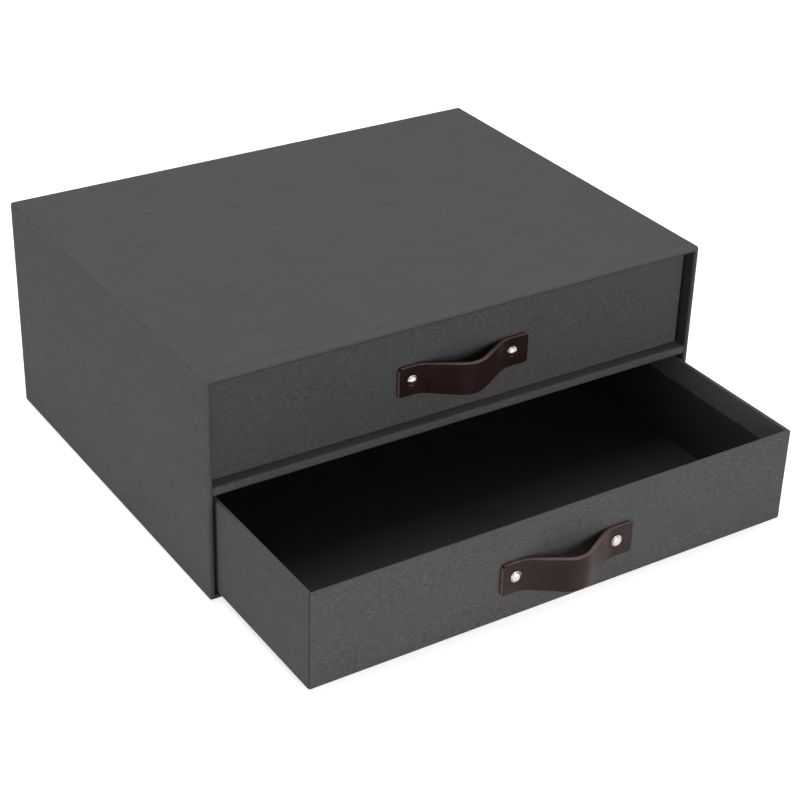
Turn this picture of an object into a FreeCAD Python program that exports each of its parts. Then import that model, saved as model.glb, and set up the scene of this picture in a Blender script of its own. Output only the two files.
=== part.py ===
"""Two-drawer file box: a rigid set-up box of greyboard wrapped in grey covering paper.

The case is open at the front and holds two equal bays, one above the other, with a covered
shelf between them. A drawer with a bowed leather strap slides in each bay. The upper drawer
is pushed home and the lower one is pulled part of the way out.

Frame: millimetres, +X to the right, +Y to the back, +Z up. The origin is the centre of the
face that the box rests on.
"""
import FreeCAD, Part
import math
import os
import re
import Sketcher

# Every size that can be set by itself, in millimetres.
SIZES = {
    "case_width": 335.0,
    "case_depth": 261.0,
    "case_height": 141.0,
    "case_board": 2.9,          # greyboard of the case
    "case_edge": 1.7,           # radius of the case's covered outer edges
    "case_rim_inner": 1.2,      # radius round the inside of the case's mouth
    "paper": 0.3,               # covering paper, lining paper and pasted sheets
    "case_turn_in": 20.0,       # covering paper turned into the mouth, over the back and under
    "case_sheet_inset": 3.0,    # pasted sheets stop short of the case's edges by this
    "shelf_ply": 2.35,          # each of the shelf's two boards
    "shelf_nose": 1.5,          # radius of the shelf's covered front edges
    "shelf_setback": 0.3,       # shelf's nose behind the case's front
    "drawer_board": 1.9,        # greyboard of the drawers
    "drawer_corner": 1.5,       # radius of a drawer's upright outer corners
    "drawer_rim_outer": 0.9,    # radius round the outside of the rim and the underside
    "drawer_rim_inner": 0.8,    # radius round the inside of the rim
    "drawer_turn_in": 16.0,     # covering paper turned in over the rim
    "drawer_turn_under": 15.0,  # covering paper turned under the base
    "drawer_sheet_inset": 2.0,  # pasted sheet stops short of the drawer's edges by this
    "side_gap": 1.4,            # clearance between a drawer and the bay's side
    "running_gap": 0.3,         # clearance under a drawer
    "head_gap": 3.0,            # clearance over its rim
    "back_gap": 0.5,            # clearance behind a closed drawer
    "drawer_recess": 7.0,       # a closed drawer's front behind the case's front
    "lower_drawer_pull": 107.6,  # how far the lower drawer stands out from closed
    "rivet_spacing": 69.0,
    "strap_end": 10.5,          # leather beyond each rivet's middle
    "strap_width": 18.8,
    "strap_leather": 2.4,       # thickness of the leather
    "strap_corner": 3.0,        # radius of the strap's corners
    "strap_rise": 14.7,         # how far its middle stands off the front
    "strap_crown": 16.7,        # radius of the outer face over the middle
    "strap_heel": 6.7,          # radius of the outer face where it leaves the front
    "strap_drop": 1.7,          # strap's centre line below the middle of the drawer front
    "rivet_post": 1.4,          # radius of a rivet's post
    "rivet_fit": 0.1,           # clearance round the post
    "rivet_cap": 3.5,           # radius of both caps
    "rivet_cap_edge": 0.4,      # straight edge under the outer cap's dome
    "rivet_dome": 1.7,          # height of that dome above its edge
    "rivet_back": 1.2,          # thickness of the flat inner cap
    "rivet_back_bevel": 0.6,    # bevel round its face
}

# Sizes that follow from the ones above.
RULES = {
    "case_wall": "case_board + 2 * paper",
    "case_floor_top": "case_board + 3 * paper",
    "case_back_inner": "case_depth / 2 - case_board - 3 * paper",
    "mouth_width": "case_width - 2 * case_wall",
    "mouth_height": "case_height - case_floor_top - case_wall",
    "shelf_thickness": "2 * shelf_ply + 2 * paper",
    "shelf_front": "shelf_setback - case_depth / 2",
    "bay_height": "(mouth_height - shelf_thickness) / 2",
    "shelf_bottom": "case_floor_top + bay_height",
    "drawer_wall": "drawer_board + 2 * paper",
    "drawer_width": "mouth_width - 2 * side_gap",
    "drawer_depth": "case_back_inner - back_gap + case_depth / 2 - drawer_recess",
    "drawer_height": "bay_height - running_gap - head_gap",
    "closed_front": "drawer_recess - case_depth / 2",
    "closed_centre": "closed_front + drawer_depth / 2",
    "lower_drawer_floor": "case_floor_top + running_gap",
    "upper_drawer_floor": "shelf_bottom + shelf_thickness + running_gap",
    "strap_centre": "drawer_height / 2 - strap_drop",
    "strap_half": "rivet_spacing / 2 + strap_end",
    "strap_lift": "rivet_spacing / 2 - rivet_cap",
}

BEVEL_PER_RADIUS = 0.6      # a bevel this much of a radius lies close along the round
ROUGH_SIDE = 18.0           # side of a rectangle before its own sizes are bound
TOUCH = 1e-4                # coordinates closer than this are the same

START, END, CENTRE = range(1, 4)    # the points of a sketch's curve, as Sketcher counts them
X_AXIS, Y_AXIS = range(-1, -3, -1)  # a sketch's own axes, in the same count
ORIGIN = X_AXIS                     # its origin is the start of the first of them

doc = FreeCAD.newDocument("two_drawer_file_box")
sheet = doc.addObject("Spreadsheet::Sheet", "Sizes")
for row, (alias, size) in enumerate(SIZES.items(), start=1):
    sheet.set(f"A{row}", alias)
    sheet.set(f"B{row}", str(size))
    sheet.setAlias(f"B{row}", alias)
doc.recompute()


def rule(text):
    """Spell a sum of named sizes out as an expression on the sheet's cells."""
    def spell(match):
        word = match.group(0)
        if word in RULES:
            return f"({rule(RULES[word])})"
        return f"Sizes.{word}" if word in SIZES else word
    return re.sub(r"[a-z_]+", spell, text)


def bind(item, **sums):
    """Bind properties of an object to sums of named sizes; a double underscore is a dot."""
    for path, text in sums.items():
        item.setExpression(path.replace("__", "."), rule(text))
    return item


def place(item, x="0", y="0", z="0"):
    """Bind where an object stands."""
    return bind(item, Placement__Base__x=x, Placement__Base__y=y, Placement__Base__z=z)


def attach(sketch, body, role):
    """Attach a sketch to one of its own body's origin planes."""
    plane = next(item for item in body.Origin.OriginFeatures if item.Role == role)
    sketch.AttachmentSupport = [(plane, "")]
    sketch.MapMode = "FlatFace"


def drive(sketch, driven):
    """Add constraints that are named and bound to sums of named sizes."""
    for label, text, constraint in driven:
        index = sketch.addConstraint(Sketcher.Constraint(*constraint))
        sketch.renameConstraint(index, label)
        sketch.setExpression(f".Constraints.{label}", rule(text))


def rectangle(body, name, width, height, role="XY_Plane", **offset):
    """A rectangle centred on its sketch's origin, which may stand off the plane."""
    sketch = body.newObject("Sketcher::SketchObject", name)
    attach(sketch, body, role)
    far = ROUGH_SIDE / 2
    corners = [FreeCAD.Vector(x, y, 0) for x, y in ((-far, -far), (far, -far), (far, far), (-far, far))]
    for start, end in zip(corners, corners[1:] + corners[:1]):
        sketch.addGeometry(Part.LineSegment(start, end), False)
    for side in range(4):
        following = (side + 1) % 4
        sketch.addConstraint(Sketcher.Constraint("Coincident", side, END, following, START))
        sketch.addConstraint(Sketcher.Constraint("Vertical" if side % 2 else "Horizontal", side))
    near_side, right_side, far_side, left_side = range(4)
    opposite = (near_side, START, far_side, START, ORIGIN, START)
    sketch.addConstraint(Sketcher.Constraint("Symmetric", *opposite))
    drive(sketch, (
        ("width", width, ("DistanceX", near_side, START, near_side, END, ROUGH_SIDE)),
        ("height", height, ("DistanceY", right_side, START, right_side, END, ROUGH_SIDE)),
    ))
    return bind(sketch, **{f"AttachmentOffset__Base__{axis}": text for axis, text in offset.items()})


def pad(body, sketch, length):
    """Pad a sketch along its normal."""
    feature = body.newObject("PartDesign::Pad", f"{sketch.Name}_pad")
    feature.Profile = sketch
    return bind(feature, Length=length)


def pocket(body, sketch, length):
    """Cut a sketch's outline away against its normal, and make sure that it cut something."""
    doc.recompute()
    before = body.Shape.Volume
    feature = body.newObject("PartDesign::Pocket", f"{sketch.Name}_pocket")
    feature.Profile = sketch
    bind(feature, Length=length)
    doc.recompute()
    if body.Shape.Volume >= before:
        raise RuntimeError(f"{feature.Name} cut nothing")
    return feature


def dress(body, kind, name, chosen):
    """Dress the edges of a body that a test picks, given each edge's box and the body's box."""
    doc.recompute()
    base = body.Tip
    whole = base.Shape.BoundBox
    picked = [
        f"Edge{number}"
        for number, edge in enumerate(base.Shape.Edges, start=1)
        if chosen(edge.BoundBox, whole)
    ]
    if not picked:
        raise RuntimeError(f"{name} picked no edge")
    feature = body.newObject(kind, name)
    feature.Base = (base, picked)
    return feature


def fillet(body, name, radius, chosen):
    """Round chosen edges."""
    return bind(dress(body, "PartDesign::Fillet", name, chosen), Radius=radius)


def bevel(body, name, size, chosen):
    """Bevel chosen edges."""
    return bind(dress(body, "PartDesign::Chamfer", name, chosen), Size=size)


def ease(body, name, radius, chosen):
    """Bevel chosen edges about as far as a round of a given radius would take them."""
    return bevel(body, name, f"({radius}) * {BEVEL_PER_RADIUS}", chosen)


def near(first, second):
    """Whether two coordinates are the same."""
    return abs(first - second) < TOUCH


def is_upright(box, whole):
    """An edge that runs along Z."""
    return box.XLength < TOUCH and box.YLength < TOUCH


def on_top(box, whole):
    """An edge that lies in the top face."""
    return near(box.ZMin, whole.ZMax)


def on_underside(box, whole):
    """An edge that lies in the underside."""
    return near(box.ZMax, whole.ZMin)


def in_front(box, whole):
    """An edge that lies in the front face."""
    return near(box.YMax, whole.YMin)


def every_edge(box, whole):
    """Any edge."""
    return True


def inner_rim(box, whole):
    """An edge in the top face that stays clear of the block's outside."""
    margin = SIZES["drawer_corner"]
    clear_x = box.XMin > whole.XMin + margin and box.XMax < whole.XMax - margin
    clear_y = box.YMin > whole.YMin + margin and box.YMax < whole.YMax - margin
    return on_top(box, whole) and clear_x and clear_y


def inner_mouth(box, whole):
    """An edge in the front face that stays clear of the block's outside."""
    margin = SIZES["case_edge"]
    clear_x = box.XMin > whole.XMin + margin and box.XMax < whole.XMax - margin
    clear_z = box.ZMin > whole.ZMin + margin and box.ZMax < whole.ZMax - margin
    return in_front(box, whole) and clear_x and clear_z


def front_nose(box, whole):
    """A long edge of the front face."""
    return in_front(box, whole) and box.ZLength < TOUCH


nodes = []


def node(item, label, x="0", y="0", z="0"):
    """Name a finished sub-part and put it in its place."""
    item.Label = label
    nodes.append(item)
    return place(item, x, y, z)


def block(name, low, high):
    """A plain block between two corners, each given as three sums."""
    item = doc.addObject("Part::Box", name)
    spans = [f"({top}) - ({bottom})" for bottom, top in zip(low, high)]
    bind(item, Length=spans[0], Width=spans[1], Height=spans[2])
    return place(item, *low)


def common(name, first, second):
    """What two objects share."""
    item = doc.addObject("Part::Common", name)
    item.Base = first
    item.Tool = second
    return item


def cut(name, base, tool):
    """One object less another."""
    item = doc.addObject("Part::Cut", name)
    item.Base = base
    item.Tool = tool
    return item


def pair(name, one):
    """An object and its mirror image across the middle plane, as one group of two solids."""
    other = doc.addObject("Part::Mirroring", f"{name}_other")
    other.Source = one
    other.Normal = FreeCAD.Vector(1, 0, 0)
    both = doc.addObject("Part::Compound", name)
    both.Links = [one, other]
    return both


def pasted_sheet(name, width, depth, inset, turn):
    """A sheet pasted over turned-over covering paper: its middle fills the paper's window."""
    body = doc.addObject("PartDesign::Body", name)
    outline = rectangle(body, f"{name}_outline", f"{width} - 2 * {inset}", f"{depth} - 2 * {inset}")
    pad(body, outline, "paper")
    window = rectangle(body, f"{name}_window", f"{width} - 2 * {turn}", f"{depth} - 2 * {turn}", z="paper")
    pad(body, window, "paper")
    return body


def case_boards():
    """The case's greyboard as one rounded block, hollow from the front."""
    body = doc.addObject("PartDesign::Body", "case_boards")
    outline = rectangle(
        body, "case_boards_outline", "case_width - 2 * paper", "case_depth - 3 * paper",
        y="-paper / 2", z="2 * paper",
    )
    pad(body, outline, "case_height - 3 * paper")
    ease(body, "case_boards_edges", "case_edge - paper", every_edge)
    hollow = rectangle(
        body, "case_boards_hollow", "mouth_width + 2 * paper", "mouth_height + 2 * paper",
        role="XZ_Plane", y="case_floor_top + mouth_height / 2", z="case_depth / 2 - paper",
    )
    pocket(body, hollow, "case_depth - 3 * paper - case_board")
    ease(body, "case_boards_mouth", "case_rim_inner - paper", inner_mouth)
    return body


def case_paper():
    """The case's covering paper before the boards are taken out of it."""
    body = doc.addObject("PartDesign::Body", "case_paper")
    outline = rectangle(
        body, "case_paper_outline", "case_width", "case_depth - paper", y="-paper / 2", z="paper",
    )
    pad(body, outline, "case_height - paper")
    fillet(body, "case_paper_edges", "case_edge", every_edge)
    mouth = rectangle(
        body, "case_paper_mouth", "mouth_width", "mouth_height",
        role="XZ_Plane", y="case_floor_top + mouth_height / 2", z="case_depth / 2",
    )
    pocket(body, mouth, "case_turn_in")
    fillet(body, "case_paper_mouth_edge", "case_rim_inner", inner_mouth)
    hollow = rectangle(
        body, "case_paper_hollow", "mouth_width + 2 * paper", "mouth_height + 2 * paper",
        role="XZ_Plane", y="case_floor_top + mouth_height / 2", z="case_depth / 2 - case_turn_in",
    )
    pocket(body, hollow, "case_depth - case_turn_in - 2 * paper - case_board / 2")
    over_back = rectangle(
        body, "case_paper_back_window", "case_width - 2 * case_turn_in", "case_height - 2 * case_turn_in",
        role="XZ_Plane", y="case_height / 2", z="case_board - case_depth / 2",
    )
    pocket(body, over_back, "case_board")
    under_base = rectangle(
        body, "case_paper_base_window", "case_width - 2 * case_turn_in", "case_depth - 2 * case_turn_in",
        z="case_board",
    )
    pocket(body, under_base, "case_board")
    return body


def build_case():
    """The case: five boards, covering paper, pasted sheets, lining and the covered shelf."""
    boards = case_boards()
    left = "paper - case_width / 2"
    right = "case_width / 2 - paper"
    front = "paper - case_depth / 2"
    back = "case_depth / 2 - 2 * paper"
    bottom = "2 * paper"
    top = "case_height - paper"
    panels = {
        "bottom": ((left, front, bottom), (right, back, f"{bottom} + case_board")),
        "top": ((left, front, f"{top} - case_board"), (right, back, top)),
        "left": (
            (left, front, f"{bottom} + case_board"),
            (f"{left} + case_board", back, f"{top} - case_board"),
        ),
        "right": (
            (f"{right} - case_board", front, f"{bottom} + case_board"),
            (right, back, f"{top} - case_board"),
        ),
        "back": (
            (f"{left} + case_board", f"{back} - case_board", f"{bottom} + case_board"),
            (f"{right} - case_board", back, f"{top} - case_board"),
        ),
    }
    for side, (low, high) in panels.items():
        panel = block(f"case_{side}_panel", low, high)
        node(common(f"case_{side}", boards, panel), f"case_{side}_board")
    node(cut("case_wrap", case_paper(), boards), "case_cover")

    sheets = ("case_sheet_inset", "case_turn_in")
    node(pasted_sheet("case_base", "case_width", "case_depth", *sheets), "case_base_sheet")
    back_sheet = node(
        pasted_sheet("case_back_paper", "case_width", "case_height", *sheets),
        "case_back_sheet", y="case_depth / 2", z="case_height / 2",
    )
    back_sheet.Placement.Rotation = FreeCAD.Rotation(FreeCAD.Vector(1, 0, 0), 90)

    lining = doc.addObject("PartDesign::Body", "case_lining_paper")
    outline = rectangle(
        lining, "case_lining_outline", "mouth_width + 2 * paper", "mouth_height + 2 * paper",
        role="XZ_Plane", y="case_floor_top + mouth_height / 2", z="-case_back_inner - paper",
    )
    pad(lining, outline, "case_back_inner + paper + case_depth / 2 - case_turn_in")
    inside = rectangle(
        lining, "case_lining_inside", "mouth_width", "mouth_height",
        role="XZ_Plane", y="case_floor_top + mouth_height / 2", z="case_depth / 2 - case_turn_in",
    )
    pocket(lining, inside, "case_back_inner + case_depth / 2 - case_turn_in")
    node(lining, "case_lining")
    build_shelf()


def shelf_blank(name, margin):
    """The shelf's outline less a margin above, below and in front, before its nose is shaped."""
    body = doc.addObject("PartDesign::Body", name)
    span = "case_back_inner - shelf_front"
    outline = rectangle(
        body, f"{name}_outline", "mouth_width", f"{span} - {margin}",
        y=f"(case_back_inner + shelf_front + {margin}) / 2", z=f"shelf_bottom + {margin}",
    )
    pad(body, outline, f"shelf_thickness - 2 * {margin}")
    return body


def build_shelf():
    """The shelf between the bays: two boards in a cover that is folded round their nose."""
    plies = shelf_blank("shelf_plies", "paper")
    ease(plies, "shelf_plies_nose", "shelf_nose - paper", front_nose)
    paper = shelf_blank("shelf_paper", "0")
    fillet(paper, "shelf_paper_nose", "shelf_nose", front_nose)
    for name, low in (("lower", "shelf_bottom + paper"), ("upper", "shelf_bottom + paper + shelf_ply")):
        half = block(
            f"shelf_{name}_half",
            ("-mouth_width / 2", "shelf_front", low),
            ("mouth_width / 2", "case_back_inner", f"{low} + shelf_ply"),
        )
        node(common(f"shelf_{name}", plies, half), f"shelf_{name}_board")
    node(cut("shelf_wrap", paper, plies), "shelf_cover")


def drawer_boards(prefix):
    """A drawer's greyboard as one rounded tray."""
    body = doc.addObject("PartDesign::Body", f"{prefix}_boards")
    outline = rectangle(
        body, f"{prefix}_boards_outline", "drawer_width - 2 * paper", "drawer_depth - 2 * paper",
        z="2 * paper",
    )
    pad(body, outline, "drawer_height - 3 * paper")
    ease(body, f"{prefix}_boards_corners", "drawer_corner - paper", is_upright)
    ease(body, f"{prefix}_boards_top", "drawer_rim_outer - paper", on_top)
    ease(body, f"{prefix}_boards_foot", "drawer_rim_outer - paper", on_underside)
    hollow = rectangle(
        body, f"{prefix}_boards_hollow",
        "drawer_width - 2 * drawer_wall + 2 * paper", "drawer_depth - 2 * drawer_wall + 2 * paper",
        z="drawer_height - paper",
    )
    pocket(body, hollow, "drawer_height - 3 * paper - drawer_board")
    ease(body, f"{prefix}_boards_rim", "drawer_rim_inner - paper", inner_rim)
    return body


def drawer_paper(prefix):
    """A drawer's covering paper before the boards are taken out of it."""
    body = doc.addObject("PartDesign::Body", f"{prefix}_paper")
    outline = rectangle(body, f"{prefix}_paper_outline", "drawer_width", "drawer_depth", z="paper")
    pad(body, outline, "drawer_height - paper")
    fillet(body, f"{prefix}_paper_corners", "drawer_corner", is_upright)
    fillet(body, f"{prefix}_paper_top", "drawer_rim_outer", on_top)
    ease(body, f"{prefix}_paper_foot", "drawer_rim_outer", on_underside)
    mouth = rectangle(
        body, f"{prefix}_paper_mouth",
        "drawer_width - 2 * drawer_wall", "drawer_depth - 2 * drawer_wall", z="drawer_height",
    )
    pocket(body, mouth, "drawer_turn_in")
    fillet(body, f"{prefix}_paper_rim", "drawer_rim_inner", inner_rim)
    hollow = rectangle(
        body, f"{prefix}_paper_hollow",
        "drawer_width - 2 * drawer_wall + 2 * paper", "drawer_depth - 2 * drawer_wall + 2 * paper",
        z="drawer_height - drawer_turn_in",
    )
    pocket(body, hollow, "drawer_height - drawer_turn_in - 2 * paper - drawer_board / 2")
    window = rectangle(
        body, f"{prefix}_paper_window",
        "drawer_width - 2 * drawer_turn_under", "drawer_depth - 2 * drawer_turn_under",
        z="drawer_board",
    )
    pocket(body, window, "drawer_board")
    return body


def drawer_lining(prefix):
    """The black lining: a tray of paper up to the turned-in covering paper."""
    body = doc.addObject("PartDesign::Body", f"{prefix}_lining_paper")
    outline = rectangle(
        body, f"{prefix}_lining_outline",
        "drawer_width - 2 * drawer_wall + 2 * paper", "drawer_depth - 2 * drawer_wall + 2 * paper",
        z="2 * paper + drawer_board",
    )
    pad(body, outline, "drawer_height - drawer_turn_in - 2 * paper - drawer_board")
    inside = rectangle(
        body, f"{prefix}_lining_inside",
        "drawer_width - 2 * drawer_wall", "drawer_depth - 2 * drawer_wall",
        z="drawer_height - drawer_turn_in",
    )
    pocket(body, inside, "drawer_height - drawer_turn_in - 3 * paper - drawer_board")
    return body


def strap(prefix):
    """The leather strap: flat ends joined by a bow, with two rivet holes."""
    half = SIZES["rivet_spacing"] / 2 + SIZES["strap_end"]
    lift = SIZES["rivet_spacing"] / 2 - SIZES["rivet_cap"]
    rise = SIZES["strap_rise"]
    leather = SIZES["strap_leather"]
    crown = SIZES["strap_crown"]
    heel = SIZES["strap_heel"]
    body = doc.addObject("PartDesign::Body", f"{prefix}_strap")
    sketch = body.newObject("Sketcher::SketchObject", f"{prefix}_strap_profile")
    attach(sketch, body, "XY_Plane")

    heel_centre = FreeCAD.Vector(lift, -leather - heel, 0)
    crown_centre = FreeCAD.Vector(0, crown - leather - rise, 0)
    between = heel_centre - crown_centre
    slope_turn = math.atan2(between.y, between.x) - math.acos((crown + heel) / between.Length)
    square_to_slope = FreeCAD.Vector(math.cos(slope_turn), math.sin(slope_turn), 0)

    def half_bow(crown_radius, heel_radius):
        """The crown's arc from the middle, the straight slope, and the heel's arc to the flat."""
        top = crown_centre - FreeCAD.Vector(0, crown_radius, 0)
        high = crown_centre + square_to_slope * crown_radius
        low = heel_centre - square_to_slope * heel_radius
        flat = heel_centre + FreeCAD.Vector(0, heel_radius, 0)
        crown_mid = crown_centre + (top + high - crown_centre * 2).normalize() * crown_radius
        heel_mid = heel_centre + (low + flat - heel_centre * 2).normalize() * heel_radius
        slope = Part.LineSegment(high, low)
        return [Part.Arc(top, crown_mid, high), slope, Part.Arc(low, heel_mid, flat)]

    outer = half_bow(crown, heel)
    inner = half_bow(crown - leather, heel + leather)
    lines = [
        ((lift, -leather), (half, -leather)),
        ((half, -leather), (half, 0)),
        ((half, 0), (lift, 0)),
        ((0, -rise), (0, -rise - leather)),
    ]
    for curve in outer + inner:
        sketch.addGeometry(curve, False)
    for start, end in lines:
        sketch.addGeometry(Part.LineSegment(FreeCAD.Vector(*start, 0), FreeCAD.Vector(*end, 0)), False)
    outer_crown, outer_slope, outer_heel, inner_crown, inner_slope, inner_heel = range(6)
    outer_flat, end_line, inner_flat, middle = range(6, 10)

    def end_at(index, point):
        """Which end of a curve lies at a point."""
        return START if (sketch.getPoint(index, START) - point).Length < TOUCH else END

    def join(kind, first, second, point):
        """Make two curves meet at a point, smoothly or not."""
        where = FreeCAD.Vector(*point, 0)
        ends = (first, end_at(first, where), second, end_at(second, where))
        sketch.addConstraint(Sketcher.Constraint(kind, *ends))

    for arc, slope in ((outer_crown, outer_slope), (inner_crown, inner_slope)):
        high = sketch.getPoint(slope, START)
        join("Tangent", arc, slope, (high.x, high.y))
    for arc, slope in ((outer_heel, outer_slope), (inner_heel, inner_slope)):
        low = sketch.getPoint(slope, END)
        join("Tangent", slope, arc, (low.x, low.y))
    join("Tangent", outer_heel, outer_flat, (lift, -leather))
    join("Tangent", inner_heel, inner_flat, (lift, 0))
    join("Coincident", outer_flat, end_line, (half, -leather))
    join("Coincident", end_line, inner_flat, (half, 0))
    join("Coincident", inner_crown, middle, (0, -rise))
    join("Coincident", outer_crown, middle, (0, -rise - leather))
    for line in (outer_flat, inner_flat):
        sketch.addConstraint(Sketcher.Constraint("Horizontal", line))
    sketch.addConstraint(Sketcher.Constraint("Vertical", end_line))
    sketch.addConstraint(Sketcher.Constraint("Equal", end_line, middle))
    for outside, inside in ((outer_heel, inner_heel), (outer_crown, inner_crown)):
        sketch.addConstraint(Sketcher.Constraint("Coincident", outside, CENTRE, inside, CENTRE))
    for curve, point in ((outer_crown, CENTRE), (middle, START), (middle, END)):
        sketch.addConstraint(Sketcher.Constraint("PointOnObject", curve, point, Y_AXIS))
    sketch.addConstraint(Sketcher.Constraint("PointOnObject", inner_flat, START, X_AXIS))
    drive(sketch, (
        ("leather", "strap_leather", ("DistanceY", end_line, START, end_line, END, leather)),
        ("half_length", "strap_half", ("DistanceX", ORIGIN, START, end_line, END, half)),
        ("lift", "strap_lift", ("DistanceX", ORIGIN, START, inner_flat, END, lift)),
        ("crown", "strap_crown", ("Radius", outer_crown, crown)),
        ("heel", "strap_heel", ("Radius", outer_heel, heel)),
        ("rise", "strap_rise", ("DistanceY", middle, START, ORIGIN, START, rise)),
    ))

    half_strap = pad(body, sketch, "strap_width")
    doc.recompute()
    whole = body.newObject("PartDesign::Mirrored", f"{prefix}_strap_whole")
    whole.Originals = [half_strap]
    whole.MirrorPlane = (next(item for item in body.Origin.OriginFeatures if item.Role == "YZ_Plane"), [""])
    body.Tip = whole
    doc.recompute()

    holes = body.newObject("Sketcher::SketchObject", f"{prefix}_strap_holes")
    attach(holes, body, "XZ_Plane")
    for side in (-1, 1):
        where = FreeCAD.Vector(side * SIZES["rivet_spacing"] / 2, SIZES["strap_width"] / 2, 0)
        holes.addGeometry(Part.Circle(where, FreeCAD.Vector(0, 0, 1), SIZES["rivet_post"]), False)
    left_hole, right_hole = range(2)
    holes.addConstraint(Sketcher.Constraint("Equal", left_hole, right_hole))
    mirrored = (left_hole, CENTRE, right_hole, CENTRE, Y_AXIS)
    holes.addConstraint(Sketcher.Constraint("Symmetric", *mirrored))
    spacing = SIZES["rivet_spacing"]
    height = SIZES["strap_width"] / 2
    drive(holes, (
        ("radius", "rivet_post + rivet_fit", ("Radius", left_hole, SIZES["rivet_post"])),
        ("spacing", "rivet_spacing", ("DistanceX", left_hole, CENTRE, right_hole, CENTRE, spacing)),
        ("height", "strap_width / 2", ("DistanceY", ORIGIN, START, left_hole, CENTRE, height)),
    ))
    bind(holes, AttachmentOffset__Base__z="strap_leather")
    pocket(body, holes, "strap_leather")

    def strap_corner(box, whole_box):
        """A short edge across the leather at an end of the strap."""
        at_end = near(box.XMin, whole_box.XMin) or near(box.XMax, whole_box.XMax)
        return at_end and box.XLength < TOUCH and box.ZLength < TOUCH

    fillet(body, f"{prefix}_strap_corners", "strap_corner", strap_corner)
    return body


def rivet_cap(name):
    """The domed outer cap about the Y axis, with its seat at y = 0 and its crown towards -Y."""
    radius = SIZES["rivet_cap"]
    edge = SIZES["rivet_cap_edge"]
    rise = SIZES["rivet_dome"]
    body = doc.addObject("PartDesign::Body", name)
    sketch = body.newObject("Sketcher::SketchObject", f"{name}_profile")
    attach(sketch, body, "XY_Plane")
    ball = (radius ** 2 + rise ** 2) / (2 * rise)
    middle = FreeCAD.Vector(0, ball - edge - rise, 0)
    crown = FreeCAD.Vector(0, -edge - rise, 0)
    shoulder = FreeCAD.Vector(radius, -edge, 0)
    halfway = middle + (crown + shoulder - middle * 2).normalize() * ball
    corners = [crown, FreeCAD.Vector(0, 0, 0), FreeCAD.Vector(radius, 0, 0), shoulder]
    for start, end in zip(corners, corners[1:]):
        sketch.addGeometry(Part.LineSegment(start, end), False)
    sketch.addGeometry(Part.Arc(crown, halfway, shoulder), False)
    axis, seat, side, arc = range(4)
    on_axis = {near(sketch.getPoint(arc, end).x, 0): end for end in (START, END)}
    for ends in (
        (axis, END, seat, START),
        (seat, END, side, START),
        (side, END, arc, on_axis[False]),
        (arc, on_axis[True], axis, START),
        (axis, END, ORIGIN, START),
    ):
        sketch.addConstraint(Sketcher.Constraint("Coincident", *ends))
    sketch.addConstraint(Sketcher.Constraint("Vertical", axis))
    sketch.addConstraint(Sketcher.Constraint("Horizontal", seat))
    sketch.addConstraint(Sketcher.Constraint("Vertical", side))
    sketch.addConstraint(Sketcher.Constraint("PointOnObject", arc, CENTRE, Y_AXIS))
    height = edge + rise
    drive(sketch, (
        ("radius", "rivet_cap", ("DistanceX", seat, START, seat, END, radius)),
        ("edge", "rivet_cap_edge", ("DistanceY", side, END, side, START, edge)),
        ("height", "rivet_cap_edge + rivet_dome", ("DistanceY", axis, START, axis, END, height)),
    ))
    turned = body.newObject("PartDesign::Revolution", f"{name}_turned")
    turned.Profile = sketch
    turned.ReferenceAxis = (sketch, ["V_Axis"])
    turned.Angle = 360
    return body


def rivet_back(name):
    """The flat inner cap about the Y axis, with its seat at y = 0 and its face towards -Y."""
    body = doc.addObject("PartDesign::Body", name)
    sketch = body.newObject("Sketcher::SketchObject", f"{name}_outline")
    attach(sketch, body, "XZ_Plane")
    radius = SIZES["rivet_cap"]
    sketch.addGeometry(Part.Circle(FreeCAD.Vector(), FreeCAD.Vector(0, 0, 1), radius), False)
    rim = 0
    sketch.addConstraint(Sketcher.Constraint("Coincident", rim, CENTRE, ORIGIN, START))
    drive(sketch, [("radius", "rivet_cap", ("Radius", rim, radius))])
    pad(body, sketch, "rivet_back")
    bevel(body, f"{name}_bevel", "rivet_back_bevel", in_front)
    return body


def across(name, radius, length):
    """A round bar along +Y from the origin."""
    bar = doc.addObject("Part::Cylinder", name)
    bar.Placement.Rotation = FreeCAD.Rotation(FreeCAD.Vector(1, 0, 0), -90)
    return bind(bar, Radius=radius, Height=length)


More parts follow.
